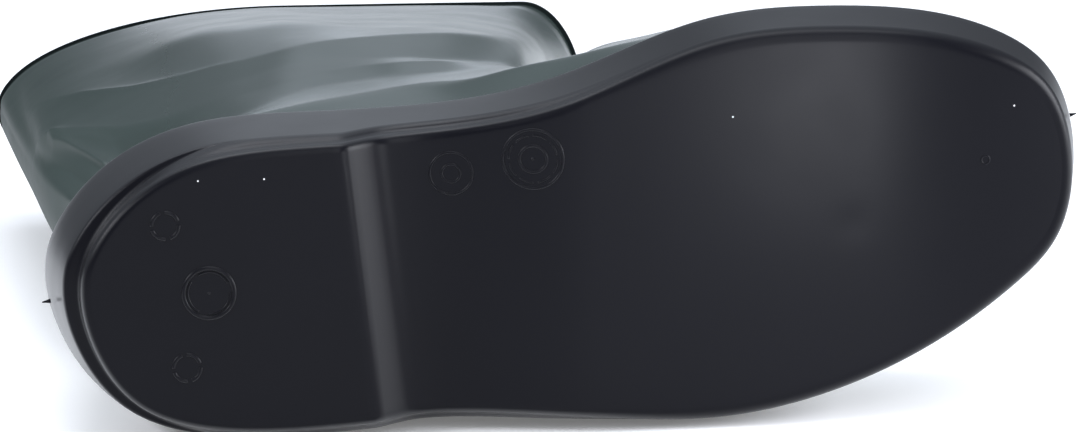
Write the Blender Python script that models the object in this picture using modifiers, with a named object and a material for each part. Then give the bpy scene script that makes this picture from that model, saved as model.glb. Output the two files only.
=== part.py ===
"""Left wellington work boot, lying on its lateral side with the sole facing -Y.

The boot is worked out upright, in millimetres: x runs from the back of the heel to the toe, y towards
the lateral (outer) side, and z up from the plane that the heel and the ball of the foot stand on.
An empty then lays it down: sole towards -Y, toe towards +X, shaft towards +Y, medial side up.
"""

import math

import bmesh
import bpy
import numpy as np

MM = 0.001

# Driving sizes
LENGTH = 300.0
SHAFT_HEIGHT = 360.0
UPPER_WALL = 2.6
FOXING_WALL = 3.0
INSOLE_THICKNESS = 4.0
GAP = 0.3

# Underside: heel block, waist and toe spring
BREAST_X = 88.6
BREAST_SLANT = 0.103
BREAST_RUN = 13.2
BREAST_HALF_WIDTH = 39.0
BREAST_EASE = 1.2
ARCH_RISE = 9.0
ARCH_START = 103.0
ARCH_END = 157.0
TOE_BREAK = 236.0
TOE_SPRING = 12.0
TOE_SPRING_POWER = 1.8

# Mesh resolution: with 66 stations, two neighbours fall on the edges of the heel breast
STATIONS = 66
TREAD_COLUMNS = 8
INSOLE_COLUMNS = 4
UPPER_RINGS = 31
SKEW_CENTRE = math.radians(68)
SKEW_SPREAD = math.radians(28)


def columns(names, rows):
    """Turn a table of rows into named columns."""
    return dict(zip(names.split(), np.array(rows, float).T))


# Sole outline: reach of the side wall from the centre plane, and how far the tread is set in from it
SOLE = columns("x lateral medial inset", (
    (0, -1.0, 1.0, 9.0),
    (5, 18.6, 17.4, 8.2),
    (20, 36.6, 33.2, 6.4),
    (44, 44.4, 43.6, 4.6),
    (75, 44.8, 46.2, 3.7),
    (111, 42.4, 47.5, 3.3),
    (150, 43.2, 55.4, 2.8),
    (189, 44.9, 70.4, 2.2),
    (225, 38.4, 74.2, 2.0),
    (256, 25.2, 71.4, 2.0),
    (280, 9.8, 63.0, 2.2),
    (295, -5.4, 48.8, 2.5),
    (300, -26.5, 26.5, 2.6),
))

# Heights along the sole: the seat that the foot stands on, and the top of the foxing
HEIGHTS = columns("x seat foxing", (
    (0, 24.0, 43.0),
    (60, 22.5, 41.0),
    (120, 18.5, 36.5),
    (190, 11.5, 27.5),
    (240, 12.0, 27.0),
    (300, 22.0, 37.0),
))

# Side wall of the sole, from the tread's edge up: lift above the tread, share of the wall's height,
# share of the tread's inset, and a further inset
SIDE = columns("lift share tuck extra", (
    (0.0, 0.00, 1.00, 2.2),
    (0.7, 0.00, 1.00, 0.6),
    (2.2, 0.00, 1.00, 0.0),
    (0.0, 0.34, 0.80, 0.0),
    (0.0, 0.50, 0.30, 0.0),
    (0.0, 0.64, 0.00, 0.0),
    (0.0, 0.86, 0.00, 0.2),
    (0.0, 0.97, 0.00, 0.9),
    (0.0, 1.00, 0.00, 1.6),
))

# Rings of the upper, from the foxing line to the rim. Each ring runs from a point on the front ridge to
# one on the back seam. Its width is a share of the foot's outline plus a flat-sided oval, whose reach on
# each side and end lengths follow, and its height may still follow the foxing line.
UPPER = columns(
    "front_x front_z front_y back_x back_z back_y foot lateral medial back_round front_round follow", (
        (296.7, 37.0, -26.5, 3.3, 43.0, -1.0, 1.00, 0.0, 0.0, 60, 60, 1.0),
        (295.0, 49.0, -26.5, 4.0, 60.0, -1.2, 0.96, 0.0, 0.0, 60, 60, 0.9),
        (284.5, 61.5, -25.5, 4.6, 80.0, -1.6, 0.87, 1.0, 1.0, 60, 60, 0.6),
        (263.0, 70.0, -22.5, 4.7, 99.0, -2.0, 0.72, 6.0, 5.0, 60, 60, 0.3),
        (230.0, 79.5, -16.5, 4.4, 119.0, -2.2, 0.52, 15.0, 13.0, 60, 60, 0.1),
        (197.0, 96.0, -10.0, 3.7, 141.0, -2.0, 0.31, 25.0, 23.0, 60, 60, 0.0),
        (172.0, 123.0, -5.0, 2.7, 165.0, -1.5, 0.13, 33.0, 31.5, 60, 60, 0.0),
        (161.0, 158.0, -1.0, 1.6, 190.0, -0.5, 0.03, 36.5, 36.0, 62, 58, 0.0),
        (160.0, 205.0, 2.5, 0.2, 222.0, 1.0, 0.00, 36.0, 35.0, 66, 50, 0.0),
        (169.0, 282.0, 7.6, -2.2, 284.0, 4.5, 0.00, 35.0, 33.4, 76, 40, 0.0),
        (183.5, SHAFT_HEIGHT, 11.8, -4.8, SHAFT_HEIGHT, 8.6, 0.00, 33.9, 31.9, 84, 33, 0.0),
    ))


def spline(knots, values, at):
    """Read a natural cubic through the knots at the given places."""
    gap = np.diff(knots)
    rise = np.diff(values) / gap
    size = len(knots)
    system = np.eye(size)
    target = np.zeros(size)
    for i in range(1, size - 1):
        system[i, i - 1:i + 2] = gap[i - 1], 2 * (gap[i - 1] + gap[i]), gap[i]
        target[i] = 6 * (rise[i] - rise[i - 1])
    bend = np.linalg.solve(system, target)
    i = np.clip(np.searchsorted(knots, at) - 1, 0, size - 2)
    t = at - knots[i]
    slope = rise[i] - gap[i] * (2 * bend[i] + bend[i + 1]) / 6
    return values[i] + t * (slope + t * (bend[i] / 2 + t * (bend[i + 1] - bend[i]) / (6 * gap[i])))


def mix(low, high, share):
    """Value part of the way from low to high."""
    return low + (high - low) * share


def station_angles():
    """Angles round the boot from the heel's back, by the lateral side to the toe and back.

    They are skewed near the heel breast, so that a row across the sole runs along it.
    """
    angle = 2 * math.pi * np.arange(STATIONS) / STATIONS
    from_heel = np.minimum(angle, 2 * math.pi - angle)
    skew = BREAST_SLANT * BREAST_HALF_WIDTH / (LENGTH / 2)
    return angle + skew * np.exp(-((from_heel - SKEW_CENTRE) / SKEW_SPREAD) ** 2)


def closed_spline(lateral, medial, angle):
    """Read a closed curve through the sole's stations, lateral side first."""
    turn = np.arccos(1 - 2 * SOLE["x"] / LENGTH)
    knots = np.concatenate((turn, 2 * math.pi - turn[-2:0:-1]))
    values = np.concatenate((lateral, medial[-2:0:-1]))
    knots = np.concatenate((knots - 2 * math.pi, knots, knots + 2 * math.pi))
    return spline(knots, np.tile(values, 3), angle)


def sole_outline(angle, inset):
    """Plan of the side wall's outer line, moved inwards by the inset."""
    step = 0.001
    x = LENGTH * (1 - np.cos(angle)) / 2
    y = closed_spline(SOLE["lateral"], -SOLE["medial"], angle)
    run = LENGTH * np.sin(angle) / 2
    rise = (closed_spline(SOLE["lateral"], -SOLE["medial"], angle + step) - y) / step
    length = np.hypot(run, rise)
    return x + inset * rise / length, y - inset * run / length


def tread_height(x, y):
    """Underside of the sole: flat heel, sloped breast, hollow waist, flat ball and toe spring."""
    start = BREAST_X + BREAST_SLANT * y + BREAST_EASE
    breast = np.clip((x - start) / (BREAST_RUN - 2 * BREAST_EASE), 0, 1)
    arch = np.cos(math.pi * np.clip((x - ARCH_START) / (ARCH_END - ARCH_START), 0, 1)) / 2 + 0.5
    toe = np.clip((x - TOE_BREAK) / (LENGTH - TOE_BREAK), 0, 1) ** TOE_SPRING_POWER
    return ARCH_RISE * breast * arch + TOE_SPRING * toe


def seat_height(x):
    return spline(HEIGHTS["x"], HEIGHTS["seat"], x)


def foxing_height(x):
    return spline(HEIGHTS["x"], HEIGHTS["foxing"], x)


def add_ring(mesh, x, y, z):
    """Add one closed ring of vertices."""
    return [mesh.verts.new(point) for point in np.stack((x, y, z), axis=1) * MM]


def bridge(mesh, lower, upper):
    """Join two rings of the same size with quads that face outwards when the second is above."""
    size = len(lower)
    for i in range(size):
        j = (i + 1) % size
        mesh.faces.new((lower[j], lower[i], upper[i], upper[j]))


def fill_across(mesh, ring, height, cells, face_up):
    """Close a ring with rows that run across from its lateral to its medial side."""
    half = len(ring) // 2
    rows = [[ring[0]] * (cells + 1)]
    for i in range(1, half):
        lateral = ring[i].co / MM
        medial = ring[-i].co / MM
        row = [ring[i]]
        for k in range(1, cells):
            point = lateral.lerp(medial, k / cells)
            row.append(mesh.verts.new((point.x * MM, point.y * MM, float(height(point.x, point.y)) * MM)))
        rows.append(row + [ring[-i]])
    rows.append([ring[half]] * (cells + 1))
    for near, far in zip(rows, rows[1:]):
        for k in range(cells):
            corners = list(dict.fromkeys((near[k], near[k + 1], far[k + 1], far[k])))
            if not face_up:
                corners.reverse()
            mesh.faces.new(corners)


def finish_part(name, mesh, material):
    """Turn a bmesh into a named, smooth shaded object."""
    data = bpy.data.meshes.new(name)
    mesh.to_mesh(data)
    mesh.free()
    data.shade_smooth()
    data.set_sharp_from_angle(angle=math.radians(40))
    data.materials.append(material)
    return bpy.data.objects.new(name, data)


def plain_material(name, colour, roughness):
    """Non-metallic material of one colour."""
    material = bpy.data.materials.new(name)
    material.use_nodes = True
    shader = material.node_tree.nodes["Principled BSDF"]
    shader.inputs["Base Color"].default_value = (*colour, 1)
    shader.inputs["Roughness"].default_value = roughness
    shader.inputs["Metallic"].default_value = 0.0
    return material


def make_outsole(angle):
    """Black sole: tread, heel block, side wall and the cup that holds the upper."""
    mesh = bmesh.new()
    inset = closed_spline(SOLE["inset"], SOLE["inset"], angle)
    edge_x, edge_y = sole_outline(angle, inset + SIDE["extra"][0])
    tread = tread_height(edge_x, edge_y)
    wall = foxing_height(edge_x) - tread
    rings = []
    for lift, share, tuck, extra in zip(*SIDE.values()):
        x, y = sole_outline(angle, tuck * inset + extra)
        rings.append(add_ring(mesh, x, y, tread + lift + share * wall))
    cup_x, cup_y = sole_outline(angle, FOXING_WALL)
    rings.append(add_ring(mesh, cup_x, cup_y, foxing_height(edge_x)))
    rings.append(add_ring(mesh, cup_x, cup_y, seat_height(cup_x)))
    for lower, upper in zip(rings, rings[1:]):
        bridge(mesh, lower, upper)
    fill_across(mesh, rings[0], tread_height, TREAD_COLUMNS, face_up=False)
    fill_across(mesh, rings[-1], lambda x, y: seat_height(x), TREAD_COLUMNS, face_up=True)
    return finish_part("outsole", mesh, plain_material("sole_black", (0.012, 0.012, 0.016), 0.38))


def make_insole(angle):
    """Loose board on the seat, inside the upper."""
    def underside(x, y):
        return seat_height(x) + GAP

    def top(x, y):
        return underside(x, y) + INSOLE_THICKNESS

    mesh = bmesh.new()
    x, y = sole_outline(angle, FOXING_WALL + UPPER_WALL + 2 * GAP)
    lower = add_ring(mesh, x, y, underside(x, y))
    upper = add_ring(mesh, x, y, top(x, y))
    bridge(mesh, lower, upper)
    fill_across(mesh, lower, underside, INSOLE_COLUMNS, face_up=False)
    fill_across(mesh, upper, top, INSOLE_COLUMNS, face_up=True)
    return finish_part("insole", mesh, plain_material("insole_felt", (0.10, 0.10, 0.10), 0.9))


def oval_share(from_back, length, back_round, front_round):
    """Half width of a flat-sided oval with elliptic ends, as a share of its greatest."""
    back = np.clip(1 - from_back * length / back_round, 0, 1)
    front = np.clip(1 - (1 - from_back) * length / front_round, 0, 1)
    return np.sqrt((1 - back ** 2) * (1 - front ** 2))


def upper_ring(row, angle):
    """Points of one ring of the upper's outer face."""
    foot_x, foot_y = sole_outline(angle, FOXING_WALL + GAP)
    front = len(angle) // 2
    share = (foot_x - foot_x[0]) / (foot_x[front] - foot_x[0])
    foot_width = foot_y - mix(foot_y[0], foot_y[front], share)
    reach = np.where(angle < math.pi, row["lateral"], -row["medial"])
    oval = oval_share(share, row["front_x"] - row["back_x"], row["back_round"], row["front_round"])
    dip = foxing_height(foot_x) - mix(foxing_height(foot_x[0]), foxing_height(foot_x[front]), share)
    x = mix(row["back_x"], row["front_x"], share)
    y = mix(row["back_y"], row["front_y"], share) + row["foot"] * foot_width + reach * oval
    z = mix(row["back_z"], row["front_z"], share) + row["follow"] * dip
    return x, y, z


def upper_rows():
    """Rings of the table, with rings between them on smooth curves."""
    front_travel = np.hypot(np.diff(UPPER["front_x"]), np.diff(UPPER["front_z"]))
    back_travel = np.hypot(np.diff(UPPER["back_x"]), np.diff(UPPER["back_z"]))
    travel = np.concatenate(((0,), np.cumsum((front_travel + back_travel) / 2)))
    steps = np.linspace(0, len(travel) - 1, UPPER_RINGS)
    for place in np.interp(steps, np.arange(len(travel)), travel):
        yield {name: spline(travel, values, place) for name, values in UPPER.items()}


def make_upper(angle):
    """Green foot and shaft: one wall, open at the rim and underneath."""
    mesh = bmesh.new()
    foot_x, foot_y = sole_outline(angle, FOXING_WALL + GAP)
    rings = [add_ring(mesh, foot_x, foot_y, seat_height(foot_x) + GAP)]
    for row in upper_rows():
        rings.append(add_ring(mesh, *upper_ring(row, angle)))
    for lower, upper in zip(rings, rings[1:]):
        bridge(mesh, lower, upper)
    shell = finish_part("upper", mesh, plain_material("upper_green", (0.085, 0.115, 0.110), 0.42))
    wall = shell.modifiers.new("wall", "SOLIDIFY")
    wall.thickness = UPPER_WALL * MM
    wall.offset = -1
    wall.use_even_offset = True
    return shell


def lay_down(parts):
    """Lay the boot on its lateral side, with the middle of its footprint at the origin."""
    scene_state = bpy.context.evaluated_depsgraph_get()
    corners = np.array([corner for part in parts for corner in part.evaluated_get(scene_state).bound_box])
    low = corners.min(axis=0)
    high = corners.max(axis=0)
    rest = bpy.data.objects.new("lying_boot", None)
    rest.rotation_euler = (-math.pi / 2, 0, 0)
    rest.location = (-(low[0] + high[0]) / 2, -(low[2] + high[2]) / 2, high[1])
    for part in parts:
        part.parent = rest
    return rest


def main():
    for old in list(bpy.data.objects):
        bpy.data.objects.remove(old)
    angle = station_angles()
    parts = [make_outsole(angle), make_upper(angle), make_insole(angle)]
    boot = bpy.data.collections.new("wellington_boot")
    bpy.context.scene.collection.children.link(boot)
    for part in parts:
        boot.objects.link(part)
    boot.objects.link(lay_down(parts))


main()
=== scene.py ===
"""Looks of a left wellington work boot that lies on its lateral side.

Shapes are worked out on the upright boot, in millimetres, as in the part's own source: x runs from the back
of the heel to the toe, y towards the lateral side and z up from the tread. to_world() lays them down in the
frame. Materials, lights and the camera are in the frame's metres.
"""

import math

import bpy
import numpy as np
from mathutils import Matrix, Vector


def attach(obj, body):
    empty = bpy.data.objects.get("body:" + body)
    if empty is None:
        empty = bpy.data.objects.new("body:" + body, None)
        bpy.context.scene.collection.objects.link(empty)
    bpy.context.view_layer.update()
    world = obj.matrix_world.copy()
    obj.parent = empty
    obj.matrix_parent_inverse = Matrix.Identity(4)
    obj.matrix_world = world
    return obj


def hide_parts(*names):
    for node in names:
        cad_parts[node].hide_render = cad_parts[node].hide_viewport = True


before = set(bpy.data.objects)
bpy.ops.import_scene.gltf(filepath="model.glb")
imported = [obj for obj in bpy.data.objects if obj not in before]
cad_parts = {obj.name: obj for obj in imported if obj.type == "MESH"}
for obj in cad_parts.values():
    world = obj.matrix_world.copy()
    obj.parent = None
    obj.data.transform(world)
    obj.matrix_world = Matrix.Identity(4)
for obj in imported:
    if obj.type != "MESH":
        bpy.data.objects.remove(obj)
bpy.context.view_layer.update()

MM = 0.001

# Place of the upright boot's origin in the frame
REST = np.array((-147.6, -180.26, 45.2))

# Driving sizes, as in the part
LENGTH = 300.0
SHAFT_HEIGHT = 360.0
FOXING_WALL = 3.0
INSOLE_THICKNESS = 4.0
GAP = 0.3

# The part's wall is a plastic skin with a knitted lining bonded to its inside
SKIN = 1.8
LINING_OUTSIDE = 2.0
LINING_INSIDE = 2.6

# Underside: heel block, waist and toe spring
BREAST_X = 89.6
BREAST_SLANT = 0.103
BREAST_RUN = 11.0
BREAST_HALF_WIDTH = 39.0
BREAST_CREST = 0.07
BREAST_FILLET = 0.35
ARCH_RISE = 9.0
ARCH_START = 103.0
ARCH_END = 157.0
TOE_BREAK = 236.0
TOE_SPRING = 12.0
TOE_SPRING_POWER = 2.3
DIMPLE = {"x": 232.0, "y": -14.3, "reach": 5.0, "depth": 0.15}

# Taper of the foxing's top, from a share of the side wall's height
LIP_START = 0.84
LIP_INSET = 2.3

# Mesh resolution
SOLE_STATIONS = 528
TREAD_COLUMNS = 56
SEAT_COLUMNS = 14
INSOLE_COLUMNS = 28
EDGE_STEPS = 9
SIDE_STEPS = 14
UPPER_COLUMNS = 288
UPPER_ROWS = 236
INNER_ROWS = 60
CUP_ROWS = 5
MARK_STEPS = 72
RAIL_STEPS = 8
SPIKE_STEPS = 12

# Where the sole's stations are skewed along the heel breast
SKEW_CENTRE = math.radians(68)
SKEW_SPREAD = math.radians(28)

# Passes that round the ridges of the wall's inside, which turns less sharply than its face
INSIDE_SOFTENING = 12


def columns(names, rows):
    """Turn a table of rows into named columns."""
    return dict(zip(names.split(), np.array(rows, float).T))


# Sole outline: reach of the side wall from the centre plane, and how far the tread is set in from it
SOLE = columns("x lateral medial inset", (
    (0, -1.0, 1.0, 9.0),
    (5, 18.6, 17.4, 8.2),
    (20, 36.6, 33.2, 6.4),
    (44, 44.4, 43.6, 4.6),
    (75, 44.8, 46.2, 3.7),
    (111, 42.4, 47.5, 3.3),
    (150, 43.2, 55.4, 3.0),
    (189, 44.9, 70.4, 2.6),
    (225, 38.4, 74.2, 2.5),
    (256, 25.2, 71.4, 2.5),
    (280, 9.8, 63.0, 2.5),
    (295, -5.4, 48.8, 2.6),
    (300, -26.5, 26.5, 2.6),
))

# Round of the tread's edge along the sole
EDGE = columns("x radius", (
    (130, 2.8),
    (190, 4.5),
    (280, 4.5),
    (300, 3.4),
))

# Side wall above the tread's edge round the back of the heel, where the foxing stands out over the heel block
# with a ledge that faces down: share of its height, and share of the tread's inset that is left. Then where
# along the foot it fades in.
LEDGE = columns("share tuck", (
    (0.03, 1.00),
    (0.06, 1.00),
    (0.085, 0.97),
    (0.100, 0.90),
    (0.107, 0.78),
    (0.112, 0.64),
    (0.118, 0.54),
    (0.130, 0.48),
    (0.160, 0.44),
    (0.300, 0.32),
    (0.500, 0.16),
    (0.700, 0.03),
    (0.840, 0.00),
))
LEDGE_FADE = (62.0, 22.0)

# Side wall along the waist in the same shares, and where along the foot it turns into the forefoot's even
# lean
WALL = columns("share tuck", (
    (0.00, 1.00),
    (0.03, 0.75),
    (0.06, 0.50),
    (0.10, 0.40),
    (0.30, 0.28),
    (0.60, 0.10),
    (0.84, 0.00),
))
LEAN_FADE = (130.0, 185.0)

# Heights along the sole: the seat that the foot stands on, and the top of the foxing
HEIGHTS = columns("x seat foxing", (
    (0, 24.0, 43.0),
    (60, 22.5, 41.0),
    (120, 18.5, 36.5),
    (190, 11.5, 27.5),
    (240, 12.0, 27.0),
    (300, 22.0, 37.0),
))

# Edge of the insole: height over its underside, and how far it is set in
INSOLE_EDGE = columns("lift inset", (
    (0.00, 0.6),
    (0.50, 0.0),
    (2.60, 0.0),
    (3.40, 0.3),
    (3.85, 0.9),
    (INSOLE_THICKNESS, 1.8),
))

# Rings of the upper, from the foxing line to the rim. Each ring runs from a point on the front ridge to
# one on the back seam. Its width is a share of the foot's outline plus a flat-sided oval, whose reach on
# each side and end lengths follow, and its height may still follow the foxing line.
UPPER = columns(
    "front_x front_z front_y back_x back_z back_y foot lateral medial back_round front_round follow", (
        (296.7, 37.0, -26.5, 3.3, 43.0, -1.0, 1.00, 0.0, 0.0, 60, 60, 1.0),
        (295.0, 49.0, -26.5, 4.0, 60.0, -1.2, 0.96, 0.0, 0.0, 60, 60, 0.9),
        (284.5, 61.5, -25.5, 4.6, 80.0, -1.6, 0.87, 1.0, 1.0, 60, 60, 0.6),
        (263.0, 70.0, -22.5, 4.7, 99.0, -2.0, 0.72, 6.0, 5.0, 60, 60, 0.3),
        (230.0, 79.5, -16.5, 4.4, 119.0, -2.2, 0.52, 15.0, 13.0, 60, 60, 0.1),
        (197.0, 96.0, -10.0, 3.7, 141.0, -2.0, 0.31, 25.0, 23.0, 60, 60, 0.0),
        (172.0, 123.0, -5.0, 2.7, 165.0, -1.5, 0.13, 33.0, 31.5, 60, 60, 0.0),
        (161.0, 158.0, -1.0, 1.6, 190.0, -0.5, 0.03, 36.5, 36.0, 62, 58, 0.0),
        (160.0, 205.0, 2.5, 0.2, 222.0, 1.0, 0.00, 36.0, 35.0, 66, 50, 0.0),
        (169.0, 282.0, 7.6, -2.2, 284.0, 4.5, 0.00, 35.0, 33.4, 76, 36, 0.0),
        (181.8, SHAFT_HEIGHT, 11.8, -4.8, SHAFT_HEIGHT, 8.6, 0.00, 33.9, 31.9, 92, 19, 0.0),
    ))

# Rim from below, over the top and into the inside: distance below the rim, and offset from the shaft's face.
# Then how far below the rim the lining ends.
RIM = columns("below out", (
    (16.0, -0.10),
    (12.0, -0.30),
    (9.0, -0.55),
    (7.0, -0.75),
    (5.5, -0.90),
    (4.3, -1.00),
    (3.5, -1.05),
    (3.1, -1.05),
    (2.8, -0.95),
    (2.5, -0.65),
    (2.2, -0.25),
    (1.9, -0.05),
    (1.3, 0.00),
    (0.7, -0.08),
    (0.2, -0.35),
    (0.0, -0.75),
    (0.0, -1.25),
    (0.2, -1.60),
    (0.7, -SKIN),
))
LINING_TOP = 2.6

# Crests of the slack medial side, from the sole up. Each runs through places along the foot and up the leg,
# and stands out from the plain face by its rise. Between it and the next crest or the rim the side hangs in,
# or bulges where the hang is negative, most at the peak's share of the way. Corners of its line are eased
# over a length.
CRESTS = (
    {"ease": 1.5, "line": columns("x z rise hang peak", (
        (0, 43, 0.0, 7.0, 0.55),
        (6, 43, 0.0, 11.0, 0.58),
        (12, 43, 0.0, 14.0, 0.65),
        (20, 42.6, 0.0, 16.0, 0.72),
        (28, 42.4, 0.0, 13.0, 0.75),
        (40, 42, 0.0, 9.5, 0.75),
        (50, 41.4, 0.0, 5.5, 0.65),
        (58, 45, 1.6, 3.5, 0.50),
        (66.5, 48, 2.2, 2.0, 0.50),
        (81, 54, 3.7, 1.6, 0.70),
        (95, 60, 4.8, 1.6, 0.70),
        (106, 64, 5.8, 1.6, 0.70),
        (115.3, 64, 6.2, 1.6, 0.65),
        (121.6, 59, 5.6, 1.2, 0.60),
        (129.4, 54, 5.8, 0.5, 0.50),
        (139, 52, 6.6, 0.0, 0.50),
        (148, 50, 6.2, 0.0, 0.50),
        (156.5, 50, 4.7, 0.0, 0.50),
        (175, 46, 1.8, 0.0, 0.50),
        (190, 40, 0.8, 0.0, 0.50),
        (205, 28, 0.0, 0.0, 0.50),
    ))},
    {"ease": 3.0, "line": columns("x z rise hang peak", (
        (0.5, 214, 0.2, 0.0, 0.50),
        (2.2, 196, 2.0, 0.0, 0.50),
        (6.4, 178, 2.4, 0.0, 0.50),
        (12.2, 162, -2.1, 0.0, 0.50),
        (19.6, 148, -6.0, 0.0, 0.50),
        (24.1, 142, -7.4, 0.0, 0.50),
        (29.3, 136, -7.5, 0.0, 0.50),
        (35.1, 130, -6.9, 0.0, 0.50),
        (41.4, 122, -5.3, 0.0, 0.50),
        (46.6, 116, -3.2, 0.0, 0.50),
        (52.3, 110, -0.6, 0.0, 0.50),
        (58.1, 106, 1.1, 0.2, 0.50),
        (63.9, 104, 2.6, 0.3, 0.50),
        (73.7, 108, 5.3, 0.3, 0.50),
        (87, 112, 5.7, 0.3, 0.50),
        (101, 112, 5.6, 0.5, 0.30),
        (111, 107, 5.6, 1.0, 0.25),
        (122, 110, 2.0, 2.2, 0.20),
        (132.5, 120, 0.0, 2.2, 0.20),
        (142, 122, 0.6, 1.5, 0.20),
        (150, 150, 0.0, 0.0, 0.50),
        (158, 200, 0.0, 0.0, 0.50),
        (168, 300, 0.0, 0.0, 0.50),
    ))},
    {"ease": 3.0, "line": columns("x z rise hang peak", (
        (-1.2, 280, 0.4, 0.0, 0.30),
        (1, 270, 1.0, 0.0, 0.30),
        (4, 255, 1.4, 0.0, 0.30),
        (8.6, 238, 1.4, 0.0, 0.30),
        (15.9, 212, 0.0, 0.0, 0.30),
        (20.9, 198, -1.4, 0.0, 0.30),
        (30.6, 180, -3.4, -1.5, 0.30),
        (39.9, 168, -2.8, -3.5, 0.30),
        (45.6, 160, -1.4, -5.0, 0.30),
        (51.4, 154, -0.2, -6.0, 0.30),
        (57.3, 150, 1.7, -6.0, 0.30),
        (63.2, 148, 3.1, -5.6, 0.28),
        (78.5, 146, 6.5, -4.4, 0.25),
        (89.5, 150, 7.0, -2.4, 0.20),
        (100.6, 150, 7.2, -0.8, 0.20),
        (111.7, 155, 7.4, -0.4, 0.20),
        (125.6, 162, 10.0, 0.0, 0.30),
        (134.2, 175, 12.2, 0.0, 0.30),
        (142.5, 206, 13.2, 0.0, 0.30),
        (154.8, 245, 9.6, 0.0, 0.30),
        (162.5, 275, 3.6, 0.0, 0.30),
        (170, 324, 0.0, 0.0, 0.30),
    ))},
)

# Softness of a hollow's bottom as a share of its width, peak of the way up to the first crest, which is flat,
# places over which a crest's line is eased, and least height from one crest to the next
HOLLOW_ROUND = 0.12
FLAT_PEAK = 0.5
EASE_STEPS = 9
LEAST_RISE = 0.3

# The slack fades out to the back and the front, as angles in degrees, along the foot, and where the front
# nears the rim
SLACK_BACK = (3.0, 14.0)
SLACK_FRONT = (12.0, 40.0)
SLACK_FOOT = (200.0, 170.0)
RIM_FRONT_X = (146.0, 166.0)
RIM_FRONT_Z = (260.0, 345.0)

# Sharp creases of the medial side: lines along the foot and up the leg, how far they stand out, and their
# width. Then the round of their tops.
CREASES = (
    {"width": 0.9, "line": columns("x z rise", (
        (7.4, 174, 0.7),
        (8.8, 167, 1.6),
        (15.0, 151, 1.8),
        (22.5, 133, 1.8),
    ))},
    {"width": 1.4, "line": columns("x z rise", (
        (2.2, 196, 0.0),
        (6.4, 178, 1.2),
        (12.2, 162, 1.0),
        (24.1, 142, 0.3),
        (41.4, 122, 0.0),
    ))},
    {"width": 1.4, "line": columns("x z rise", (
        (13, 222, 0.0),
        (20.9, 198, 0.7),
        (30.6, 180, 0.8),
        (45.6, 160, 0.3),
        (63.2, 148, 0.0),
    ))},
)
CREASE_ROUND = 0.4

# Dents: place, reach round the leg and up it, and depth
DENTS = columns("x z around up depth", (
    (4.5, 116, 16, 34, 7.0),
))

# Columns of the upper stand closer together round the sharp fold at the heel. They are spaced by counting
# finer samples.
DENSE_ANGLE = math.radians(335)
DENSE_SPREAD = math.radians(16)
DENSE_GAIN = 2.5
SAMPLES_PER_COLUMN = 4

# Marks that the mould leaves on the tread: centre, radius of the ring and of its rail, and number of arcs in
# the ring, which fill a share of it. Short stubs stand in the middle of two.
MARKS = columns("x y radius rail arcs", (
    (45.9, -0.6, 7.3, 0.65, 1),
    (45.9, -0.6, 6.1, 0.30, 3),
    (33.8, -20.7, 3.9, 0.55, 4),
    (39.0, 21.1, 3.9, 0.55, 4),
    (116.8, -31.7, 6.1, 0.35, 1),
    (116.8, -31.7, 2.6, 0.35, 1),
    (140.2, -36.0, 8.6, 0.40, 1),
    (140.2, -36.0, 6.9, 0.28, 8),
    (140.2, -36.0, 3.9, 0.45, 1),
    (271.0, -30.9, 1.2, 0.25, 1),
))
ARC_SHARE = 0.78
STUBS = columns("x y radius", (
    (45.9, -0.6, 0.7),
    (140.2, -36.0, 0.9),
))
STUB_HEIGHT = 0.5

# Flash nubs on the side wall: angle round the sole, height, length and radius. Then how deep they are rooted.
NUBS = columns("angle z length radius", (
    (4.0, 20.0, 2.0, 0.7),
    (188.4, 22.0, 1.4, 0.6),
))
NUB_ROOT = 0.6

# Taper of a nub or stub from its root to its tip
SPIKE = columns("share width", (
    (0.0, 1.00),
    (0.5, 0.60),
    (0.9, 0.35),
    (1.0, 0.15),
))

# Specks of dust on the tread
SPECKS = columns("x y", (
    (43.6, -33.4),
    (62.6, -33.3),
    (197.9, -46.6),
    (279.8, -46.1),
))
SPECK_RADIUS = 0.32
SPECK_COLOUR = (0.6, 0.6, 0.6)

# Colours of the plastics and textiles, dark and light, and the range of the plastics' roughness
SOLE_COLOURS = ((0.0014, 0.0015, 0.0028), (0.0024, 0.0025, 0.0044))
SOLE_ROUGHNESS = (0.33, 0.37)
GREEN_COLOURS = ((0.023, 0.034, 0.031), (0.029, 0.041, 0.038))
GREEN_ROUGHNESS = (0.22, 0.26)
KNIT_COLOURS = ((0.10, 0.11, 0.11), (0.22, 0.23, 0.22))
FELT_COLOURS = ((0.07, 0.07, 0.07), (0.13, 0.13, 0.13))

# Plastic: texture scales of its clouds, its uneven gloss and its grain, and how the grain stands out
CLOUD_SCALE = 14.0
GLOSS_SCALE = 45.0
GRAIN_SCALE = 700.0
GRAIN_BUMP = {"Strength": 0.006, "Distance": 0.0004}

# Knit: texture scales round and up the leg, how far the rows wander and stand out, and the yarn's finish
RIB_SCALE = 110.0
LOOP_SCALE = 160.0
KNIT_WANDER = 0.6
KNIT_BUMP = {"Strength": 0.5, "Distance": 0.0005}
KNIT_FINISH = {"Roughness": 0.9, "Sheen Weight": 0.2}

# Felt: texture scale and fineness of its fibres, how they stand out, and their finish
FIBRE_SCALE = 900.0
FIBRE_DETAIL = 6.0
FELT_BUMP = {"Strength": 0.6, "Distance": 0.0006}
FELT_FINISH = {"Roughness": 0.95, "Sheen Weight": 0.3}

# Usual fineness of a noise, and the middle of its values, which is spread over a range
NOISE_DETAIL = 3.0
NOISE_MIDDLE = (0.3, 0.7)

# Dull band down the back of the leg: where it is full and where it ends, and how much rougher it is
RUBBED_X = (-0.150, -0.095)
RUBBED_ROUGHNESS = 0.3

# Painted shade along the rim's bead: where the band lies by place up the leg, and the dark colour painted
# there
BEAD_SHADE_Y = (0.1762, 0.1772)
BEAD_SHADE_COLOUR = (0.005, 0.007, 0.007)

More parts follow.
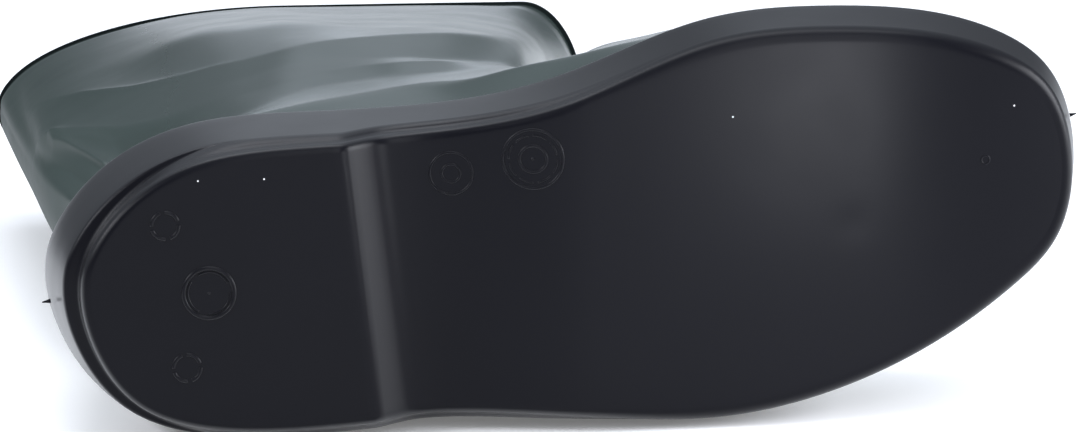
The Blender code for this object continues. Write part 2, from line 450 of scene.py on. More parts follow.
# Gloss of the plastics: seen square on, and at a glance towards the heel and towards the toe, with where
# along the foot it changes. Then which turn of a face away from the eye counts as square on and as a glance.
SOLE_GLOSS = {"square": 0.10, "heel": 1.0, "toe": 0.35, "change": (0.0, 0.05)}
GREEN_GLOSS = {"square": 0.5, "heel": 0.1, "toe": 0.5, "change": (-0.150, -0.060)}
SQUARE_FACING = 0.16
GLANCE_FACING = 0.8

# Studio round the boot: its grey by height above the horizon as a sine, at the sides and at the back. Then
# where its left and right sides turn into the back, its share on the camera's side and where that sets in,
# and its tint and the lights' tint.
STUDIO = columns("height side back", (
    (0.00, 0.18, 1.50),
    (0.05, 0.18, 1.40),
    (0.09, 0.19, 0.90),
    (0.13, 0.22, 0.50),
    (0.17, 0.24, 0.44),
    (0.25, 0.27, 0.62),
    (0.40, 0.33, 0.84),
    (0.60, 0.45, 0.85),
    (1.00, 1.60, 1.60),
))
STUDIO_LEFT = (-0.10, 0.01)
STUDIO_RIGHT = (0.30, 0.04)
STUDIO_FRONT = 0.5
STUDIO_DEPTH = (-0.8, 0.2)
STUDIO_TINT = (0.83, 0.90, 1.0)
LIGHT_TINT = (0.92, 0.94, 1.0)

# Soft lights: name, place, point that they face, width, height and power in watts
LIGHTS = (
    ("key", (-1.27, -0.7, 0.81), (-0.1, -0.17, 0.06), 0.9, 0.35, 18),
    ("side", (0.9, -0.3, 0.3), (-0.06, -0.17, 0.07), 0.6, 0.5, 12),
    ("front", (0.09, -0.33, 0.08), (0.09, -0.18, 0.08), 0.04, 0.07, 0.15),
    ("panel", (0.15, -1.15, 0.62), (0.1, -0.18, 0.08), 0.5, 1.1, 8),
    ("top", (-0.02, -0.25, 1.1), (0.0, -0.2, 0.1), 0.9, 0.45, 7),
)

# Floor: half its length, and its finish
FLOOR_HALF = 20.0
FLOOR_FINISH = {
    "Base Color": (0.9, 0.9, 0.9, 1),
    "Roughness": 0.8,
    "Specular IOR Level": 0.2,
    "Emission Color": (1, 1, 1, 1),
    "Emission Strength": 0.15,
}

# Photograph's camera: width of its image in pixels and of its sensor in millimetres, how far it sees, where
# it looks, from how far and at which angles, and how many pixels a millimetre takes there
IMAGE_WIDTH = 1080
SENSOR_WIDTH = 36.0
CAMERA_REACH = 100.0
CAMERA_TARGET = Vector((-5.9, -180.0, 64.8)) * MM
CAMERA_DISTANCE = 3.4
CAMERA_ELEVATION = math.radians(10.8)
CAMERA_HEADING = math.radians(4.0)
CAMERA_ROLL = math.radians(-1.3)
PIXELS_PER_MM = 3.478


def spline(knots, values, at):
    """Read a natural cubic through the knots at the given places."""
    gap = np.diff(knots)
    rise = np.diff(values) / gap
    size = len(knots)
    system = np.eye(size)
    target = np.zeros(size)
    for i in range(1, size - 1):
        system[i, i - 1:i + 2] = gap[i - 1], 2 * (gap[i - 1] + gap[i]), gap[i]
        target[i] = 6 * (rise[i] - rise[i - 1])
    bend = np.linalg.solve(system, target)
    i = np.clip(np.searchsorted(knots, at) - 1, 0, size - 2)
    t = at - knots[i]
    slope = rise[i] - gap[i] * (2 * bend[i] + bend[i + 1]) / 6
    return values[i] + t * (slope + t * (bend[i] / 2 + t * (bend[i + 1] - bend[i]) / (6 * gap[i])))


def mix(low, high, share):
    """Value part of the way from low to high."""
    return low + (high - low) * share


def ease(low, high, value):
    """Smooth step from 0 at low to 1 at high, which may be the smaller."""
    t = np.clip((value - low) / (high - low), 0, 1)
    return t * t * (3 - 2 * t)


def unit(vectors):
    """Vectors of the same directions with length 1."""
    return vectors / np.linalg.norm(vectors, axis=-1, keepdims=True)


def to_world(points):
    """Lay upright points in millimetres down in the frame, in metres."""
    x, y, z = np.moveaxis(np.asarray(points), -1, 0)
    return (np.stack((x, z, -y), axis=-1) + REST) * MM


def station_angles():
    """Angles round the sole, skewed near the heel breast so that a row across the sole runs along it."""
    angle = 2 * math.pi * np.arange(SOLE_STATIONS) / SOLE_STATIONS
    from_heel = np.minimum(angle, 2 * math.pi - angle)
    skew = BREAST_SLANT * BREAST_HALF_WIDTH / (LENGTH / 2)
    return angle + skew * np.exp(-((from_heel - SKEW_CENTRE) / SKEW_SPREAD) ** 2)


def column_angles():
    """Angles round the upper, closer together at the sharp fold."""
    angle = np.linspace(0, 2 * math.pi, SAMPLES_PER_COLUMN * UPPER_COLUMNS + 1)
    density = 1 + DENSE_GAIN * np.exp(-((angle - DENSE_ANGLE) / DENSE_SPREAD) ** 2)
    count = np.concatenate(((0,), np.cumsum((density[1:] + density[:-1]) / 2)))
    return np.interp(np.arange(UPPER_COLUMNS) / UPPER_COLUMNS, count / count[-1], angle)


def closed_spline(lateral, medial, angle):
    """Read a closed curve through the sole's stations, lateral side first."""
    turn = np.arccos(1 - 2 * SOLE["x"] / LENGTH)
    knots = np.concatenate((turn, 2 * math.pi - turn[-2:0:-1]))
    values = np.concatenate((lateral, medial[-2:0:-1]))
    knots = np.concatenate((knots - 2 * math.pi, knots, knots + 2 * math.pi))
    return spline(knots, np.tile(values, 3), angle)


def sole_outline(angle, inset):
    """Plan of the side wall's outer line, moved inwards by the inset."""
    step = 0.001
    x = LENGTH * (1 - np.cos(angle)) / 2
    y = closed_spline(SOLE["lateral"], -SOLE["medial"], angle)
    run = LENGTH * np.sin(angle) / 2
    rise = (closed_spline(SOLE["lateral"], -SOLE["medial"], angle + step) - y) / step
    length = np.hypot(run, rise)
    return x + inset * rise / length, y - inset * run / length


def tread_height(x, y):
    """Underside of the sole: flat heel, rounded breast, hollow waist, flat ball and toe spring."""
    t = (x - BREAST_X - BREAST_SLANT * y) / BREAST_RUN
    breast = (np.hypot(t, BREAST_CREST) - np.hypot(t - 1, BREAST_FILLET) + 1) / 2
    arch = np.cos(math.pi * np.clip((x - ARCH_START) / (ARCH_END - ARCH_START), 0, 1)) / 2 + 0.5
    toe = np.clip((x - TOE_BREAK) / (LENGTH - TOE_BREAK), 0, 1) ** TOE_SPRING_POWER
    from_dimple = np.hypot(x - DIMPLE["x"], y - DIMPLE["y"]) / DIMPLE["reach"]
    return ARCH_RISE * breast * arch + TOE_SPRING * toe + DIMPLE["depth"] * np.exp(-from_dimple ** 2)


def seat_height(x):
    """Height of the seat that the foot stands on."""
    return spline(HEIGHTS["x"], HEIGHTS["seat"], x)


def foxing_height(x):
    """Height of the foxing's top."""
    return spline(HEIGHTS["x"], HEIGHTS["foxing"], x)


class Shape:
    """Points and faces of one mesh, in upright millimetres."""

    def __init__(self):
        self.points = np.zeros((0, 3))
        self.faces = []

    def add(self, x, y, z):
        """Add points and return their numbers."""
        first = len(self.points)
        self.points = np.vstack((self.points, np.stack((x, y, z), axis=-1).reshape(-1, 3)))
        return np.arange(first, len(self.points))

    def bridge(self, lower, upper):
        """Join two rings of the same size with quads that face outwards when the second is above."""
        quads = (np.roll(lower, -1), lower, upper, np.roll(upper, -1))
        self.faces += np.stack(quads, axis=-1).tolist()

    def loft(self, rings, closed=False):
        """Join rings one after the other, and the last to the first if closed."""
        for lower, upper in zip(rings, rings[1:]):
            self.bridge(lower, upper)
        if closed:
            self.bridge(rings[-1], rings[0])

    def fill_across(self, ring, height, cells, face_up):
        """Close a ring with rows that run across from its lateral to its medial side."""
        half = len(ring) // 2
        lateral = ring[1:half]
        medial = ring[:half:-1]
        share = np.arange(1, cells)[None, :] / cells
        x, y = (mix(self.points[lateral, k][:, None], self.points[medial, k][:, None], share) for k in (0, 1))
        inside = self.add(x, y, height(x, y)).reshape(half - 1, cells - 1)
        rows = np.column_stack((lateral, inside, medial))
        quads = np.stack((rows[:-1, :-1], rows[:-1, 1:], rows[1:, 1:], rows[1:, :-1]), axis=-1).reshape(-1, 4)
        heel = np.stack((np.full(cells, ring[0]), rows[0, 1:], rows[0, :-1]), axis=-1)
        toe = np.stack((rows[-1, :-1], rows[-1, 1:], np.full(cells, ring[half])), axis=-1)
        for faces in (quads, heel, toe):
            self.faces += (faces if face_up else faces[:, ::-1]).tolist()

    def cap(self, rings):
        """Close the first and the last ring of a loft."""
        self.faces += [rings[0].tolist(), rings[-1][::-1].tolist()]

    def add_spike(self, root, tip, radius):
        """Add a small closed spike that narrows from its root to a blunt tip."""
        along = unit(tip - root)
        across = unit(np.cross(along, (0, 1, 0)))
        turn = 2 * math.pi * np.arange(SPIKE_STEPS)[:, None] / SPIKE_STEPS
        circle = np.cos(turn) * across - np.sin(turn) * np.cross(along, across)
        rings = []
        for share, width in zip(*SPIKE.values()):
            rings.append(self.add(*(mix(root, tip, share) + radius * width * circle).T))
        self.loft(rings)
        self.cap(rings)

    def make_piece(self, name, material, node=None):
        """Make the object, laid down in the frame, riding on the part's one body."""
        data = bpy.data.meshes.new(name)
        data.from_pydata(to_world(self.points).tolist(), [], self.faces)
        data.shade_smooth()
        data.materials.append(material)
        piece = bpy.data.objects.new(name, data)
        bpy.context.scene.collection.objects.link(piece)
        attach(piece, "root")
        if node:
            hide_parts(node)


def make_outsole(material):
    """Black sole: tread, heel block, side wall and the cup that holds the upper."""
    shape = Shape()
    angle = station_angles()
    inset = closed_spline(SOLE["inset"], SOLE["inset"], angle)
    wall_x, wall_y = sole_outline(angle, inset)
    edge_round = np.interp(wall_x, *EDGE.values())
    edge_x, edge_y = sole_outline(angle, inset + edge_round)
    tread = tread_height(edge_x, edge_y)
    wall = foxing_height(edge_x) - tread - edge_round
    rings = []
    for turn in np.linspace(0, math.pi / 2, EDGE_STEPS):
        x, y = sole_outline(angle, inset + edge_round * (1 - math.sin(turn)))
        rings.append(shape.add(x, y, tread + edge_round * (1 - math.cos(turn))))
    for share in np.concatenate((LEDGE["share"], np.linspace(LEDGE["share"][-1], 1, SIDE_STEPS)[1:])):
        leaning = max(0, 1 - share / LIP_START)
        tuck = mix(np.interp(share, *WALL.values()), leaning, ease(*LEAN_FADE, wall_x))
        tuck = mix(tuck, np.interp(share, *LEDGE.values()), ease(*LEDGE_FADE, wall_x))
        lip = max(0, (share - LIP_START) / (1 - LIP_START))
        x, y = sole_outline(angle, tuck * inset + LIP_INSET * (1 - math.sqrt(1 - lip ** 2)))
        rings.append(shape.add(x, y, tread + edge_round + share * wall))
    cup_x, cup_y = sole_outline(angle, FOXING_WALL)
    rings.append(shape.add(cup_x, cup_y, foxing_height(edge_x)))
    rings.append(shape.add(cup_x, cup_y, seat_height(cup_x)))
    shape.loft(rings)
    shape.fill_across(rings[0], tread_height, TREAD_COLUMNS, face_up=False)
    shape.fill_across(rings[-1], lambda x, y: seat_height(x), SEAT_COLUMNS, face_up=True)
    shape.make_piece("sole_moulding", material, "outsole")


def make_insole(material):
    """Loose felt board on the seat, with a rounded upper edge."""
    shape = Shape()
    angle = station_angles()
    outline = FOXING_WALL + GAP + LINING_INSIDE + GAP
    rings = []
    for lift, inset in zip(*INSOLE_EDGE.values()):
        x, y = sole_outline(angle, outline + inset)
        rings.append(shape.add(x, y, seat_height(x) + GAP + lift))
    shape.loft(rings)
    shape.fill_across(rings[0], lambda x, y: seat_height(x) + GAP, SEAT_COLUMNS, face_up=False)
    top = GAP + INSOLE_THICKNESS
    shape.fill_across(rings[-1], lambda x, y: seat_height(x) + top, INSOLE_COLUMNS, face_up=True)
    shape.make_piece("insole_board", material, "insole")


def make_marks(material):
    """Plain rings that the mould's gate and pins leave on the tread, and nubs of flash on the side wall."""
    shape = Shape()
    section = 2 * math.pi * np.arange(RAIL_STEPS) / RAIL_STEPS
    for mark_x, mark_y, radius, rail, arcs in zip(*MARKS.values()):
        whole = arcs == 1
        sweep = 2 * math.pi if whole else 2 * math.pi / arcs * ARC_SHARE
        for first in 2 * math.pi * np.arange(arcs) / arcs:
            rings = []
            for angle in np.linspace(first, first + sweep, int(MARK_STEPS / arcs), endpoint=not whole):
                reach = radius + rail * np.cos(section)
                x = mark_x + reach * math.cos(angle)
                y = mark_y + reach * math.sin(angle)
                rings.append(shape.add(x, y, tread_height(x, y) + rail * np.sin(section)))
            shape.loft(rings, closed=whole)
            if not whole:
                shape.cap(rings)
    for x, y, radius in zip(*STUBS.values()):
        seat = np.array((x, y, tread_height(x, y)))
        shape.add_spike(seat + (0, 0, STUB_HEIGHT), seat - (0, 0, STUB_HEIGHT), radius)
    for angle, z, length, radius in zip(*NUBS.values()):
        root = np.array((*sole_outline(math.radians(angle), NUB_ROOT), z))
        tip = np.array((*sole_outline(math.radians(angle), -length), z))
        shape.add_spike(root, tip, radius)
    shape.make_piece("mould_marks", material)


def oval_share(from_back, length, back_round, front_round):
    """Half width of a flat-sided oval with elliptic ends, as a share of its greatest."""
    back = np.clip(1 - from_back * length / back_round, 0, 1)
    front = np.clip(1 - (1 - from_back) * length / front_round, 0, 1)
    return np.sqrt((1 - back ** 2) * (1 - front ** 2))


def upper_ring(row, angle):
    """Points of one ring of the upper's outer face."""
    inset = FOXING_WALL + GAP
    foot_x, foot_y = sole_outline(angle, inset)
    end_x, end_y = sole_outline(np.array((0, math.pi)), inset)
    share = (foot_x - end_x[0]) / (end_x[1] - end_x[0])
    foot_width = foot_y - mix(end_y[0], end_y[1], share)
    reach = np.where(angle < math.pi, row["lateral"], -row["medial"])
    oval = oval_share(share, row["front_x"] - row["back_x"], row["back_round"], row["front_round"])
    dip = foxing_height(foot_x) - mix(*foxing_height(end_x), share)
    x = mix(row["back_x"], row["front_x"], share)
    y = mix(row["back_y"], row["front_y"], share) + row["foot"] * foot_width + reach * oval
    z = mix(row["back_z"], row["front_z"], share) + row["follow"] * dip
    return np.stack((x, y, z), axis=-1)


class UpperFace:
    """Outer face of the upper without its folds, as rows of points from the sole's seat to the rim."""

    def __init__(self, angle):
        self.angle = angle
        front_travel = np.hypot(np.diff(UPPER["front_x"]), np.diff(UPPER["front_z"]))
        back_travel = np.hypot(np.diff(UPPER["back_x"]), np.diff(UPPER["back_z"]))
        self.travel = np.concatenate(((0,), np.cumsum((front_travel + back_travel) / 2)))
        self.length = self.travel[-1]

    def rows(self, places):
        """Rings at the given distances from the foxing line along the upper."""
        tables = {name: spline(self.travel, values, places) for name, values in UPPER.items()}
        return np.array([
            upper_ring({name: values[i] for name, values in tables.items()}, self.angle)
            for i in range(len(places))
        ])

    def cup(self):
        """Rings below the foxing line, inside the sole."""
        x, y = sole_outline(self.angle, FOXING_WALL + GAP)
        low = seat_height(x) + GAP
        high = self.rows(np.zeros(1))[0, :, 2]
        shares = np.arange(CUP_ROWS)[:, None] / CUP_ROWS
        z = mix(low, high, shares)
        return np.stack((np.broadcast_to(x, z.shape), np.broadcast_to(y, z.shape), z), axis=-1)


def grid_normals(grid):
    """Outward directions of a grid of rings."""
    around = np.roll(grid, -1, axis=1) - np.roll(grid, 1, axis=1)
    along = np.gradient(grid, axis=0)
    return unit(np.cross(along, around))


def medial_point(grid, x, z):
    """Point of the medial side at a place along the foot and a height."""
    medial = grid[:, grid.shape[1] // 2:][:, ::-1]
    axes = range(grid.shape[2])
    lines = medial.swapaxes(0, 1)
    level = np.array([[np.interp(z, line[:, 2], line[:, k]) for k in axes] for line in lines])
    return np.array([np.interp(x, level[:, 0], level[:, k]) for k in axes])


def medial_line(ring, x):
    """Height of a ring's medial side, and how far out it is, at places along the foot."""
    medial = ring[len(ring) // 2:][::-1]
    return np.interp(x, medial[:, 0], medial[:, 2]), np.interp(x, medial[:, 0], -medial[:, 1])


def along_crest(crest, values, x):
    """Value along a crest's line at places along the foot, with its corners eased."""
    steps = np.linspace(-crest["ease"], crest["ease"], EASE_STEPS)
    return np.mean([np.interp(x + step, crest["line"]["x"], values) for step in steps], axis=0)


def hollow_share(t, peak):
    """Share of a hollow's depth on the way across it: nearly straight sides that meet in a soft bottom."""
    return -HOLLOW_ROUND * np.logaddexp(-t / peak / HOLLOW_ROUND, -(1 - t) / (1 - peak) / HOLLOW_ROUND)


def slack_height(face, body, grid):
    """Height of the crests and hollows of the slack medial side over the grid's points."""
    x, y, z = np.moveaxis(grid, -1, 0)
    foot, rim = face.rows(np.array((0, face.length)))
    level, out = medial_line(foot, x)
    hang = np.zeros_like(x)
    height = np.zeros_like(x)
    peak = np.full_like(x, FLAT_PEAK)
    for crest in CRESTS + (None,):
        if crest:
            line = crest["line"]
            plain_y = np.array([medial_point(body, *place)[1] for place in zip(line["x"], line["z"])])
            next_level = np.maximum(level, along_crest(crest, line["z"], x))
            next_out = along_crest(crest, line["rise"] - plain_y, x)
        else:
            next_level, next_out = medial_line(rim, x)
        t = (z - level) / np.maximum(next_level - level, LEAST_RISE)
        profile = mix(out, next_out, t) - hang * hollow_share(np.clip(t, 0, 1), peak)
        height = np.where((t >= 0) & (t < 1), profile + y, height)
        level, out = next_level, next_out
        if crest:
            hang = along_crest(crest, line["hang"], x)
            peak = along_crest(crest, line["peak"], x)
    return height


def crease_height(grid, width, line):
    """Height of one sharp crease over the grid's points, straight between its places."""
    places = np.stack((line["x"], line["z"]), axis=-1)
    height = np.zeros(grid.shape[:2])
    for start, end, low, high in zip(places, places[1:], line["rise"], line["rise"][1:]):
        place = grid[..., ::2] - start
        run = end - start
        share = np.clip(place @ run / (run @ run), 0, 1)
        away = np.hypot(np.linalg.norm(place - share[..., None] * run, axis=-1), CREASE_ROUND) - CREASE_ROUND
        height = np.maximum(height, mix(low, high, share) * np.exp(-away / width))
    return np.where(grid[..., 1] < 0, height, 0)


def soften(height):
    """Heights of a grid of rings, rounded over the neighbouring points."""
    padded = np.pad(height, ((1, 1), (0, 0)), mode="edge")
    height = (padded[:-2] + 2 * height + padded[2:]) / 4
    return (np.roll(height, 1, axis=1) + 2 * height + np.roll(height, -1, axis=1)) / 4


def dent_depth(grid, x, z, around, up, depth):
    """Depth that one hollow takes from the grid's points."""
    centre = medial_point(grid, x, z)
    away = np.hypot(grid[..., 0] - centre[0], grid[..., 1] - centre[1]) / around
    along = (grid[..., 2] - centre[2]) / up
    return depth * np.exp(-away ** 2 - along ** 2)


def crumple(face, body, grid, normal):
    """Height of the folds, dents and creases over the grid's points."""
    height = soften(slack_height(face, body, grid))
    from_back = np.degrees(2 * math.pi - face.angle)
    from_front = np.degrees(face.angle - math.pi)
    height *= ease(*SLACK_BACK, from_back) * ease(*SLACK_FRONT, from_front) * ease(*SLACK_FOOT, grid[..., 0])
    height *= 1 - ease(*RIM_FRONT_X, grid[..., 0]) * ease(*RIM_FRONT_Z, grid[..., 2])
    height -= sum(dent_depth(grid, *dent) for dent in zip(*DENTS.values()))
    folded = grid + height[..., None] * normal
    return height + sum(crease_height(folded, **crease) for crease in CREASES)


def make_upper(material, lining_material):
    """Green skin of foot and shaft with its rim, and the knitted lining inside it."""
    face = UpperFace(column_angles())
    cup = face.cup()
    body = face.rows(np.linspace(0, face.length - RIM["below"][0], UPPER_ROWS, endpoint=False))
    rim = face.rows(face.length - RIM["below"])
    grid = np.concatenate((cup, body, rim))
    offset = np.concatenate((np.zeros(len(cup) + len(body)), RIM["out"]))
    normal = grid_normals(np.concatenate((cup, body)))
    normal = np.concatenate((normal, np.repeat(normal[-1:], len(rim), axis=0)))
    height = crumple(face, grid[:len(cup) + len(body)], grid, normal)
    skin = grid + (height + offset[:, None])[..., None] * normal

    inside = height
    for _ in range(INSIDE_SOFTENING):
        inside = np.minimum(soften(inside), height)

    def layer(depth):
        """Rings of the wall's inside at a depth under its face."""
        return grid + (inside - depth)[..., None] * normal

    inner = np.linspace(len(cup) + len(body) - 1, 0, INNER_ROWS).astype(int)
    shape = Shape()
    rings = [shape.add(*ring.T) for ring in skin]
    rings += [shape.add(*ring.T) for ring in layer(SKIN)[inner]]
    shape.loft(rings, closed=True)
    shape.make_piece("upper_moulding", material, "upper")

    lining = Shape()
    top = len(grid) - 1 - np.searchsorted(RIM["below"][::-1], LINING_TOP)
    outside = np.append(inner[::-1], top)
    rings = [lining.add(*ring.T) for ring in layer(LINING_OUTSIDE)[outside]]
    rings += [lining.add(*ring.T) for ring in layer(LINING_INSIDE)[outside[::-1]]]
    lining.loft(rings, closed=True)
    lining.make_piece("lining_sock", lining_material)


def connect(tree, node, inputs):
    """Set a node's inputs from values or other nodes' outputs."""
    for name, value in inputs.items():
        if isinstance(value, bpy.types.NodeSocket):
            tree.links.new(value, node.inputs[name])
        else:
            node.inputs[name].default_value = value


def add_node(tree, kind, inputs, **settings):
    """Add a shader node with its settings and inputs."""
    node = tree.nodes.new(kind)
    for name, value in settings.items():
        setattr(node, name, value)
    connect(tree, node, inputs)
    return node


def ramp(tree, factor, low, high):
    """Colour between two, by a factor."""
    node = add_node(tree, "ShaderNodeValToRGB", {"Fac": factor})
    for element, colour in zip(node.color_ramp.elements, (low, high)):
        element.color = (*colour, 1)
    return node.outputs["Color"]


def noise(tree, place, scale, detail=NOISE_DETAIL):
    """Grey noise in the metres of the frame."""
    node = add_node(tree, "ShaderNodeTexNoise", {"Vector": place, "Scale": scale, "Detail": detail})
    return node.outputs[0]


def spread(tree, factor, low, high):
    """Middle values of a noise, spread from low to high."""
    middle = {"From Min": NOISE_MIDDLE[0], "From Max": NOISE_MIDDLE[1]}
    values = {"Value": factor, **middle, "To Min": low, "To Max": high}
    return add_node(tree, "ShaderNodeMapRange", values).outputs["Result"]


def new_material(name):
    """Material with its shader, and the place on the object in metres."""
    material = bpy.data.materials.new(name)
    material.use_nodes = True
    tree = material.node_tree
    place = add_node(tree, "ShaderNodeTexCoord", {}).outputs["Object"]
    return material, tree, tree.nodes["Principled BSDF"], place


def dusty(tree, place, colour):
    """Colour with the specks of dust over it."""
    for speck in to_world(np.stack((*SPECKS.values(), tread_height(*SPECKS.values())), axis=-1)):
        away = add_node(tree, "ShaderNodeVectorMath", {0: place, 1: speck}, operation="DISTANCE")
        limits = {"From Min": SPECK_RADIUS * MM, "From Max": SPECK_RADIUS * MM / 2}
        values = {"Value": away.outputs["Value"], **limits}
        cover = add_node(tree, "ShaderNodeMapRange", values).outputs["Result"]
        layers = {"Fac": cover, "Color1": colour, "Color2": (*SPECK_COLOUR, 1)}
        colour = add_node(tree, "ShaderNodeMixRGB", layers).outputs["Color"]
    return colour


def along_axis(tree, place, axis, limits, low, high):
    """Value that changes from low to high between two places along an axis of the frame."""
    at = add_node(tree, "ShaderNodeSeparateXYZ", {"Vector": place}).outputs[axis]
    values = {"Value": at, "From Min": limits[0], "From Max": limits[1], "To Min": low, "To Max": high}
    return add_node(tree, "ShaderNodeMapRange", values, interpolation_type="SMOOTHSTEP").outputs["Result"]


def rubbed(tree, place, roughness):
    """Roughness that grows down the back of the leg."""
    more = along_axis(tree, place, "X", RUBBED_X, RUBBED_ROUGHNESS, 0.0)
    return add_node(tree, "ShaderNodeMath", {0: roughness, 1: more}, operation="ADD").outputs[0]


def glossy(tree, place, gloss):
    """Strength of the gloss by how squarely the face is seen and by place along the foot."""
    facing = add_node(tree, "ShaderNodeLayerWeight", {}).outputs["Facing"]
    glance = along_axis(tree, place, "X", gloss["change"], gloss["heel"], gloss["toe"])
    limits = {"From Min": SQUARE_FACING, "From Max": GLANCE_FACING}
    values = {"Value": facing, **limits, "To Min": gloss["square"], "To Max": glance}
    return add_node(tree, "ShaderNodeMapRange", values).outputs["Result"]


def bead_shaded(tree, place, colour):
    """Colour with painted shade along the rim's bead."""
    in_bead_shade = along_axis(tree, place, "Y", BEAD_SHADE_Y, 0.0, 1.0)
    layers = {"Fac": in_bead_shade, "Color1": colour, "Color2": (*BEAD_SHADE_COLOUR, 1)}
    return add_node(tree, "ShaderNodeMixRGB", layers).outputs["Color"]


def dull_beaded(tree, place, gloss):
    """Gloss that ends at the rim's bead, where its shade is painted."""
    below_bead = along_axis(tree, place, "Y", BEAD_SHADE_Y, 1.0, 0.0)
    return add_node(tree, "ShaderNodeMath", {0: gloss, 1: below_bead}, operation="MULTIPLY").outputs[0]


def cloudy(tree, place, colours):
    """Colour that changes in soft clouds."""
    return ramp(tree, noise(tree, place, CLOUD_SCALE), *colours)


def uneven(tree, place, roughness):
    """Roughness that changes a little from place to place."""
    return spread(tree, noise(tree, place, GLOSS_SCALE), *roughness)


def grainy(tree, place):
    """Direction of a face with a fine grain."""
    bump = add_node(tree, "ShaderNodeBump", {**GRAIN_BUMP, "Height": noise(tree, place, GRAIN_SCALE)})
    return bump.outputs["Normal"]


def make_sole_plastic():
    """Black satin plastic with specks of dust."""
    material, tree, shader, place = new_material("sole_plastic")
    connect(tree, shader, {
        "Base Color": dusty(tree, place, cloudy(tree, place, SOLE_COLOURS)),
        "Roughness": uneven(tree, place, SOLE_ROUGHNESS),
        "Specular IOR Level": glossy(tree, place, SOLE_GLOSS),
        "Normal": grainy(tree, place),
    })
    return material


def make_green_plastic():
    """Green satin plastic, duller down the back of the leg, with painted shade on the rim's bead."""
    material, tree, shader, place = new_material("green_plastic")
    connect(tree, shader, {
        # The bead's dark band is painted shade in the base colour, and its gloss is taken away along with it
        "Base Color": bead_shaded(tree, place, cloudy(tree, place, GREEN_COLOURS)),
        "Roughness": rubbed(tree, place, uneven(tree, place, GREEN_ROUGHNESS)),
        "Specular IOR Level": dull_beaded(tree, place, glossy(tree, place, GREEN_GLOSS)),
        "Normal": grainy(tree, place),
    })
    return material


def stitches(tree, place, scale, axis):
    """Rows of stitches that follow each other along an axis of the frame."""
    inputs = {"Vector": place, "Scale": scale, "Distortion": KNIT_WANDER}
    return add_node(tree, "ShaderNodeTexWave", inputs, bands_direction=axis).outputs["Fac"]


def make_knit():
    """Fine knitted textile with ribs along the leg."""
    material, tree, shader, place = new_material("lining_knit")
    ribs = stitches(tree, place, RIB_SCALE, "X")
    loops = stitches(tree, place, LOOP_SCALE, "Y")
    weave = add_node(tree, "ShaderNodeMath", {0: ribs, 1: loops}, operation="MULTIPLY").outputs[0]
    bump = add_node(tree, "ShaderNodeBump", {**KNIT_BUMP, "Height": weave})
    connect(tree, shader, {
        "Base Color": ramp(tree, weave, *KNIT_COLOURS),
        "Normal": bump.outputs["Normal"],
        **KNIT_FINISH,
    })
    return material


def make_felt():
    """Matted fibres."""
    material, tree, shader, place = new_material("insole_felt")
    fibres = noise(tree, place, FIBRE_SCALE, FIBRE_DETAIL)
    bump = add_node(tree, "ShaderNodeBump", {**FELT_BUMP, "Height": fibres})
    connect(tree, shader, {
        "Base Color": ramp(tree, fibres, *FELT_COLOURS),
        "Normal": bump.outputs["Normal"],
        **FELT_FINISH,
    })
    return material


def make_floor():
    """Plain pale floor."""
    corners = [(FLOOR_HALF * x, FLOOR_HALF * y, 0) for x, y in ((-1, -1), (1, -1), (1, 1), (-1, 1))]
    data = bpy.data.meshes.new("floor")
    data.from_pydata(corners, [], [(0, 1, 2, 3)])
    material = bpy.data.materials.new("pale_floor")
    material.use_nodes = True
    connect(material.node_tree, material.node_tree.nodes["Principled BSDF"], FLOOR_FINISH)
    data.materials.append(material)
    floor = bpy.data.objects.new("floor", data)
    bpy.context.scene.collection.objects.link(floor)


def softbox(name, place, aim, width, height, power):
    """Soft light that faces a point and doesn't show itself."""
    data = bpy.data.lights.new(name, "AREA")
    data.shape = "RECTANGLE"
    data.size = width
    data.size_y = height
    data.energy = power
    data.color = LIGHT_TINT
    light = bpy.data.objects.new(name, data)
    light.location = place
    light.rotation_euler = (Vector(aim) - Vector(place)).to_track_quat("-Z", "Y").to_euler()
    light.visible_camera = False
    bpy.context.scene.collection.objects.link(light)


def sky_ramp(tree, height, greys):
    """Colour of the studio by height."""
    node = add_node(tree, "ShaderNodeValToRGB", {"Fac": height})
    stops = node.color_ramp.elements
    for _ in range(len(greys) - len(stops)):
        stops.new(1)
    for stop, place, grey in zip(stops, STUDIO["height"], greys):
        stop.position = place
        stop.color = (*(grey * np.array(STUDIO_TINT)), 1)
    return node.outputs["Color"]


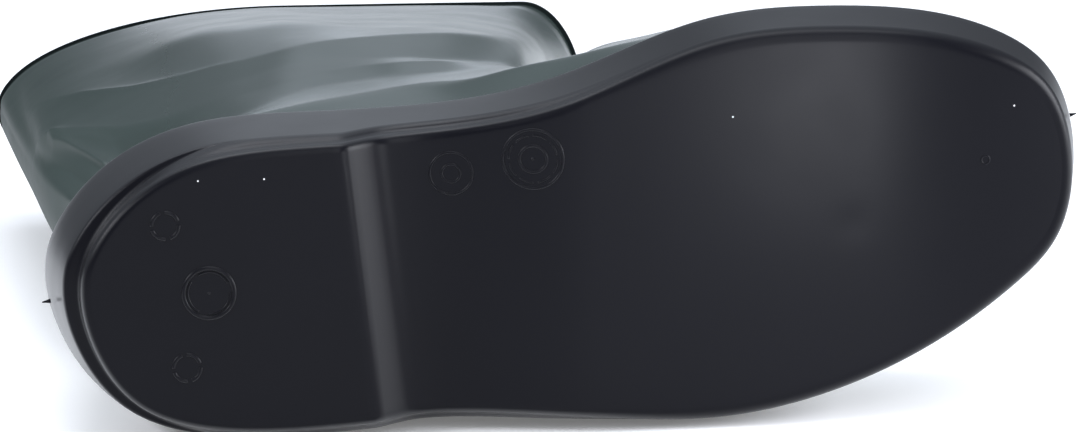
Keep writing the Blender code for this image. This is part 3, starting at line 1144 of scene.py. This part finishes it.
def make_world():
    """Pale studio: brightest low at the back, dimmer on the camera's side."""
    world = bpy.data.worlds.new("studio")
    world.use_nodes = True
    tree = world.node_tree
    direction = add_node(tree, "ShaderNodeTexCoord", {}).outputs["Generated"]
    height = add_node(tree, "ShaderNodeSeparateXYZ", {"Vector": direction}).outputs["Z"]
    from_left = along_axis(tree, direction, "X", STUDIO_LEFT, 0.0, 1.0)
    from_right = along_axis(tree, direction, "X", STUDIO_RIGHT, 0.0, 1.0)
    to_back = add_node(tree, "ShaderNodeMath", {0: from_left, 1: from_right}, operation="MULTIPLY")
    sky = add_node(tree, "ShaderNodeMixRGB", {
        "Fac": to_back.outputs[0],
        "Color1": sky_ramp(tree, height, STUDIO["side"]),
        "Color2": sky_ramp(tree, height, STUDIO["back"]),
    })
    strength = along_axis(tree, direction, "Y", STUDIO_DEPTH, STUDIO_FRONT, 1.0)
    connect(tree, tree.nodes["Background"], {"Color": sky.outputs["Color"], "Strength": strength})
    bpy.context.scene.world = world


def make_camera():
    """Long lens at the photograph's angle."""
    ahead = Vector((
        math.sin(CAMERA_HEADING) * math.cos(CAMERA_ELEVATION),
        math.cos(CAMERA_HEADING) * math.cos(CAMERA_ELEVATION),
        -math.sin(CAMERA_ELEVATION),
    ))
    right = Vector((math.cos(CAMERA_HEADING), -math.sin(CAMERA_HEADING), 0))
    right.rotate(Matrix.Rotation(-CAMERA_ROLL, 3, ahead))
    up = right.cross(ahead)
    data = bpy.data.cameras.new("camera")
    data.sensor_width = SENSOR_WIDTH
    data.lens = SENSOR_WIDTH * PIXELS_PER_MM / MM * CAMERA_DISTANCE / IMAGE_WIDTH
    data.clip_end = CAMERA_REACH
    camera = bpy.data.objects.new("camera", data)
    turn = Matrix((right, up, -ahead)).transposed().to_4x4()
    camera.matrix_world = Matrix.Translation(CAMERA_TARGET - CAMERA_DISTANCE * ahead) @ turn
    bpy.context.scene.collection.objects.link(camera)
    bpy.context.scene.camera = camera


sole_plastic = make_sole_plastic()
make_outsole(sole_plastic)
make_marks(sole_plastic)
make_upper(make_green_plastic(), make_knit())
make_insole(make_felt())
make_floor()
make_world()
for light in LIGHTS:
    softbox(*light)
make_camera()
bpy.context.scene.view_settings.view_transform = "Standard"
